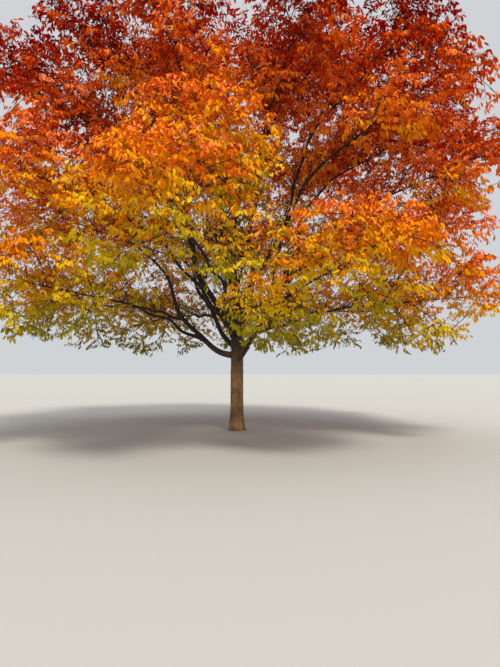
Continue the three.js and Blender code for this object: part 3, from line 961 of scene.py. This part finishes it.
def share_of_way_out(points):
    """0 at the heart of the crown and 1 at its edge, as seen from the heart."""
    out = points - HEART
    step = unit(out) * SQUASH
    edge = np.full(len(points), LEAST_EDGE)
    for middle, radius in zip(MIDDLES, RADII):
        away = (HEART - middle) * SQUASH
        a, b, c = (step**2).sum(-1), step @ away, away @ away - radius**2
        hits = b * b > a * c
        far = (-b + np.sqrt(np.maximum(b * b - a * c, 0.0))) / a
        edge = np.where(hits, np.maximum(edge, far), edge)
    return np.linalg.norm(out, axis=1) / edge


def share_of_light(points):
    return share_of_way_out(points) + LIGHT_FROM_ABOVE * (points[:, 2] - HEART[2])


def in_crown(growth):
    """The twigs that don't reach out of the crown."""
    return kept(growth, share_of_way_out(tips(growth)) < EDGE_SHARE)


def in_the_light(rng, points):
    light = np.clip((share_of_light(points) - DARK_SHARE) / (LIT_SHARE - DARK_SHARE), 0.0, 1.0)
    return rng.random(len(points)) < DARK_CHANCE + (1 - DARK_CHANCE) * light


def uncrowded(rng, points):
    """True for the first few points of each cell, taken in a random order."""
    few, many = SHOOTS_IN_A_CELL
    limit = np.where(share_of_light(points) > OUTER_SHARE, many, few)
    _, cell = np.unique(np.floor(points / CELL).astype(int), axis=0, return_inverse=True)
    order = np.lexsort((rng.random(len(points)), cell.ravel()))
    rank = np.arange(len(points))
    new_cell = np.append(True, np.diff(cell.ravel()[order]) > 0)
    keep = np.empty(len(points), bool)
    keep[order] = rank - np.maximum.accumulate(np.where(new_cell, rank, 0)) < limit[order]
    return keep


print("shoots live from", DARK_SHARE, "of the way out, at most", SHOOTS_IN_A_CELL[1], "in a cell")

# %% [markdown]
# ## Wood of a mass
#
# The stem, its main twigs, side twigs, branchlets and shoots are five sizes of the same thing. Each
# size is simpler than the one before it, because there are many more of them. Side twigs leave the
# bough too, on its way to its mass, and fill the open inside of the crown with fine dark lines.

# %% Finer twigs of a mass
SIDE_TWIG_RADIUS, BRANCHLET_RADIUS, SHOOT_RADIUS = 0.0105, 0.0062, 0.0024
LEAST_SIDE_TWIG, LEAST_BRANCHLET, LEAST_SHOOT = 0.25, 0.10, 0.04  # shorter ones are left out
BOUGH_TWIG_GAP, SIDE_TWIG_GAP, BRANCHLET_GAP, SHOOT_GAP = 0.05, 0.04, 0.03, 0.02  # to limbs
BOUGH_BARE, BOUGH_STOPS = 0.18, 9  # of the bough's length from its foot, and points past that
END_SHOOT = 0.4  # of a branchlet's length, which its last shoot takes up
Shape = namedtuple("Shape", "taper points bow sides")  # taper: the last radius, of the first
MAIN_SHAPE = Shape(0.25, 7, 0.10, 5)
SIDE_SHAPE = Shape(0.35, 5, 0.24, 3)
BRANCHLET_SHAPE = Shape(0.35, 3, 0.20, 3)
SHOOT_SHAPE = Shape(1.0, 2, 0.0, 3)


def tapered(radius, last, points):
    """A radius for each ring of a twig, as a share of the first."""
    return np.asarray(radius)[:, None] * np.linspace(1.0, last, points)[None, :-1]


def twig_tubes(rng, growth, radius, shape):
    """Bowed twigs of one shape, with one radius for all or one for each."""
    radii = tapered(np.full(len(growth[0]), radius), shape.taper, shape.points)
    return tubes(curved(rng, growth, shape.points, shape.bow), radii, shape.sides)


def twigs_of_bough(rng, index):
    """Twigs that leave the bough past its bare foot, taken as short straight lengths."""
    place = lines[BOUGHS[index].name]["place"]
    stops = np.array([place(t) for t in np.linspace(BOUGH_BARE, 1.0, BOUGH_STOPS)])
    reach = np.diff(stops, axis=0)
    carriers = (stops[:-1], unit(reach), np.linalg.norm(reach, axis=1))
    return clear(in_crown(by_turns(rng, carriers, BOUGH_TWIG)), BOUGH_TWIG_GAP)


def living_shoots(rng, index, branchlets, in_mass):
    side = by_turns(rng, branchlets, SHOOT)
    feet, along, lengths, _ = branchlets
    last_feet = feet + along * ((1 - END_SHOOT) * lengths)[:, None]
    shoots = together(side, (last_feet, along, END_SHOOT * lengths, np.arange(len(feet))))
    shoots = within(index, shoots, LEAST_SHOOT) if in_mass else in_crown(shoots)
    shoots = clear(shoots, SHOOT_GAP)
    shoots = kept(shoots, in_the_light(rng, tips(shoots)))
    return kept(shoots, uncrowded(rng, 0.5 * (shoots[0] + tips(shoots))))


print("branchlets are", 2000 * BRANCHLET_RADIUS, "mm thick and shoots", 2000 * SHOOT_RADIUS, "mm")

# %% Wood of a mass
STEM_SUNK = 0.03  # how far the stem starts inside the end of the bough
STEM_SHARE = 0.97  # of the bough's radius there
STEM_SIDES = 8
MAIN_SHARE = 0.93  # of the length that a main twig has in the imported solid
EVERY_BARE = 6  # of the branchlets with no living shoot, one in this many stays


def stem_and_main_twigs(rng, index):
    """Returns their tubes, and the same wood as carriers of finer twigs."""
    start, end, entering, tip_radius, twigs = stem_and_twigs(index)
    sunk = start - STEM_SUNK * entering
    stem_path = sunk + np.linspace(0.0, 1.0, MAIN_SHAPE.points)[:, None] * (end - sunk)
    stem_radii = tapered([STEM_SHARE * tip_radius], 1 - STEM_NARROWING, MAIN_SHAPE.points)
    feet, along, lengths, radii = (np.array(part) for part in zip(*twigs))
    main = (feet, along, MAIN_SHARE * lengths)
    stem = (start[None], entering[None], np.array([np.linalg.norm(end - start)]))
    made = [tubes(stem_path[None], stem_radii, STEM_SIDES)]
    return made + [twig_tubes(rng, main, radii, MAIN_SHAPE)], together(main, stem)


def grow_wood(rng, index):
    """Returns the twig meshes of a mass, its shoots, each with its branchlet, and their number."""
    made, main = stem_and_main_twigs(rng, index)
    side = within(index, by_turns(rng, main, SIDE_TWIG), LEAST_SIDE_TWIG)
    side = clear(side, SIDE_TWIG_GAP)
    from_bough = twigs_of_bough(rng, index)
    for growth in (side, from_bough):
        made.append(twig_tubes(rng, growth, SIDE_TWIG_RADIUS, SIDE_SHAPE))

    inner = in_crown(by_turns(rng, from_bough, BRANCHLET))
    outer = within(index, by_turns(rng, together(main, side[:3]), BRANCHLET), LEAST_BRANCHLET)
    outer = clear(outer, BRANCHLET_GAP)
    inner_shoots = living_shoots(rng, index, inner, False)
    outer_shoots = living_shoots(rng, index, outer, True)

    branchlets = together(outer, inner)
    inner_shoots[3][:] += len(outer[0])
    shoots = together(outer_shoots, inner_shoots)
    stays = np.arange(len(branchlets[0])) % EVERY_BARE == 0
    stays[shoots[3]] = True
    made.append(twig_tubes(rng, kept(branchlets, stays), BRANCHLET_RADIUS, BRANCHLET_SHAPE))
    made.append(twig_tubes(rng, shoots, SHOOT_RADIUS, SHOOT_SHAPE))
    return made, shoots, len(branchlets[0])


print("wood in five sizes")

# %% [markdown]
# ## Leaves of a mass
#
# A leaf of this cherry is about eleven centimetres long and four wide, folded a little at its
# midrib. Leaves leave the shoot by turns too, lean outwards and hang, some more than others.
# Only the leaves that stay inside the crown and clear of the limbs are kept.

# %% Leaves of a mass
LEAF_LENGTH, LEAF_WIDTH = 0.112, 0.044  # the outline takes up 0.92 of this width
LEAF_GAP = 0.0335
LEAST_LEAVES = 3  # on each shoot
SHOOT_BARE = 0.06  # of the shoot's length, from its foot
DOWN = np.array([0.0, 0.0, -1.0])
AHEAD, ASIDE = 0.5, 0.6  # how strongly a leaf heads along its shoot and to the side
HANG_FROM, HANG_SPREAD = 0.3, 1.2  # and down
HEAD_SCATTER = 0.26
ROLL = 35.0  # degrees about the midrib
SIZE_FROM, SIZE_SPREAD = 0.78, 0.44
FOOT_GAP, TIP_GAP = 0.005, 0.01  # from the limbs


def grow_leaves(rng, index, shoots):
    """Returns the leaves' corners, one row for each leaf, and the shoot that carries each."""
    feet, along, lengths, _ = shoots
    counts = np.maximum(LEAST_LEAVES, np.round(lengths / LEAF_GAP).astype(int))
    shoot = np.repeat(np.arange(len(feet)), counts)
    turn = np.concatenate([np.arange(count) for count in counts])
    t = (turn + rng.random(len(shoot))) / counts[shoot]
    share = SHOOT_BARE + (1 - SHOOT_BARE) * t
    leaf_feet = feet[shoot] + along[shoot] * (lengths[shoot] * share)[:, None]
    level, _ = frames(along[shoot])
    side = np.where(turn % 2, -1.0, 1.0)[:, None]
    hang = HANG_FROM + HANG_SPREAD * rng.random((len(shoot), 1))
    scatter = HEAD_SCATTER * rng.standard_normal((len(shoot), 3))
    heads = unit(AHEAD * along[shoot] + ASIDE * side * level + hang * DOWN + scatter)
    across, up = frames(heads)
    roll = np.radians(ROLL) * rng.standard_normal((len(shoot), 1))
    across = across * np.cos(roll) + up * np.sin(roll)
    size = SIZE_FROM + SIZE_SPREAD * rng.random(len(shoot))
    corners = leaves(leaf_feet, heads, across, LEAF_LENGTH * size, LEAF_WIDTH * size)
    foot, tip = corners[:, 0], corners[:, LEAF_TIP]
    keep = inside(index, tip) | (share_of_way_out(tip) < EDGE_SHARE)
    keep &= clear_of_limbs(foot, FOOT_GAP) & clear_of_limbs(tip, TIP_GAP)
    return corners[keep], shoot[keep]


leaf_width = LEAF_WIDTH * np.ptp(LEAF_OUTLINE[:, 1])
print("leaves of about", round(1000 * LEAF_LENGTH), "by", round(1000 * leaf_width), "mm")

# %% [markdown]
# ## Tints of the shoots
#
# Each shoot takes one tint. It starts from how far its mass has turned, and moves on towards red at
# the mass's top and outside, and back towards green below and inside. Whole branchlets and single
# shoots also differ a little by chance, so the tints mix as they do on the tree.

# %% Tints of the shoots
RISE_WARMTH = 0.32  # from the middle of a mass to its top
OUT_WARMTH = 0.05  # and to its outer side
BRANCHLET_SCATTER, SHOOT_SCATTER = 0.055, 0.045


def shoot_tints(rng, index, shoots, branchlet_count):
    feet, along, lengths, owner = shoots
    from_middle = (feet + along * lengths[:, None] - MIDDLES[index]) / RADII[index]
    outward = unit(MIDDLES[index] * np.array([1.0, 1.0, 0.0]))
    warmth = BOUGHS[index].turned + RISE_WARMTH * from_middle[:, 2] / FLATTEN
    warmth = warmth + OUT_WARMTH * (from_middle @ outward)
    warmth += BRANCHLET_SCATTER * rng.standard_normal(branchlet_count)[owner]
    warmth += SHOOT_SCATTER * rng.standard_normal(len(feet))
    return np.clip(np.round(warmth * (len(TINTS) - 1)), 0, len(TINTS) - 1).astype(int)


print("tints from", TINTS[0][0], "to", TINTS[-1][0])

# %% [markdown]
# ## Growing all the masses
#
# Each mass gets one piece of twigs and one of leaves, which together stand for its solid.


def grow_mass(index):
    name = BOUGHS[index].name
    rng = np.random.default_rng(GROWTH_SEED + index)
    made, shoots, branchlet_count = grow_wood(rng, index)
    corners, shoot = grow_leaves(rng, index, shoots)
    tint = shoot_tints(rng, index, shoots, branchlet_count)[shoot]
    twig_piece = mesh_piece("twigs_" + name, *joined(made), [twig_bark])
    used, slots = np.unique(tint, return_inverse=True)
    leaf_piece = mesh_piece(
        "leaves_" + name,
        corners.reshape(-1, 3),
        (LEAF_FACES + (np.arange(len(corners)) * len(LEAF_OUTLINE))[:, None, None]).reshape(-1, 3),
        [leaf_materials[number] for number in used],
        np.repeat(slots, len(LEAF_FACES)),
    )
    stand_for(twig_piece, "foliage_" + name)
    stand_for(leaf_piece, "foliage_" + name)
    return len(corners), len(leaf_piece.data.polygons), len(twig_piece.data.polygons)


totals = np.array([grow_mass(index) for index in range(len(BOUGHS))])
leaf_count, leaf_faces, twig_faces = totals.sum(0)
print(leaf_count, "leaves,", leaf_faces, "leaf faces and", twig_faces, "twig faces")
print("a mass has from", totals[:, 0].min(), "to", totals[:, 0].max(), "leaves")
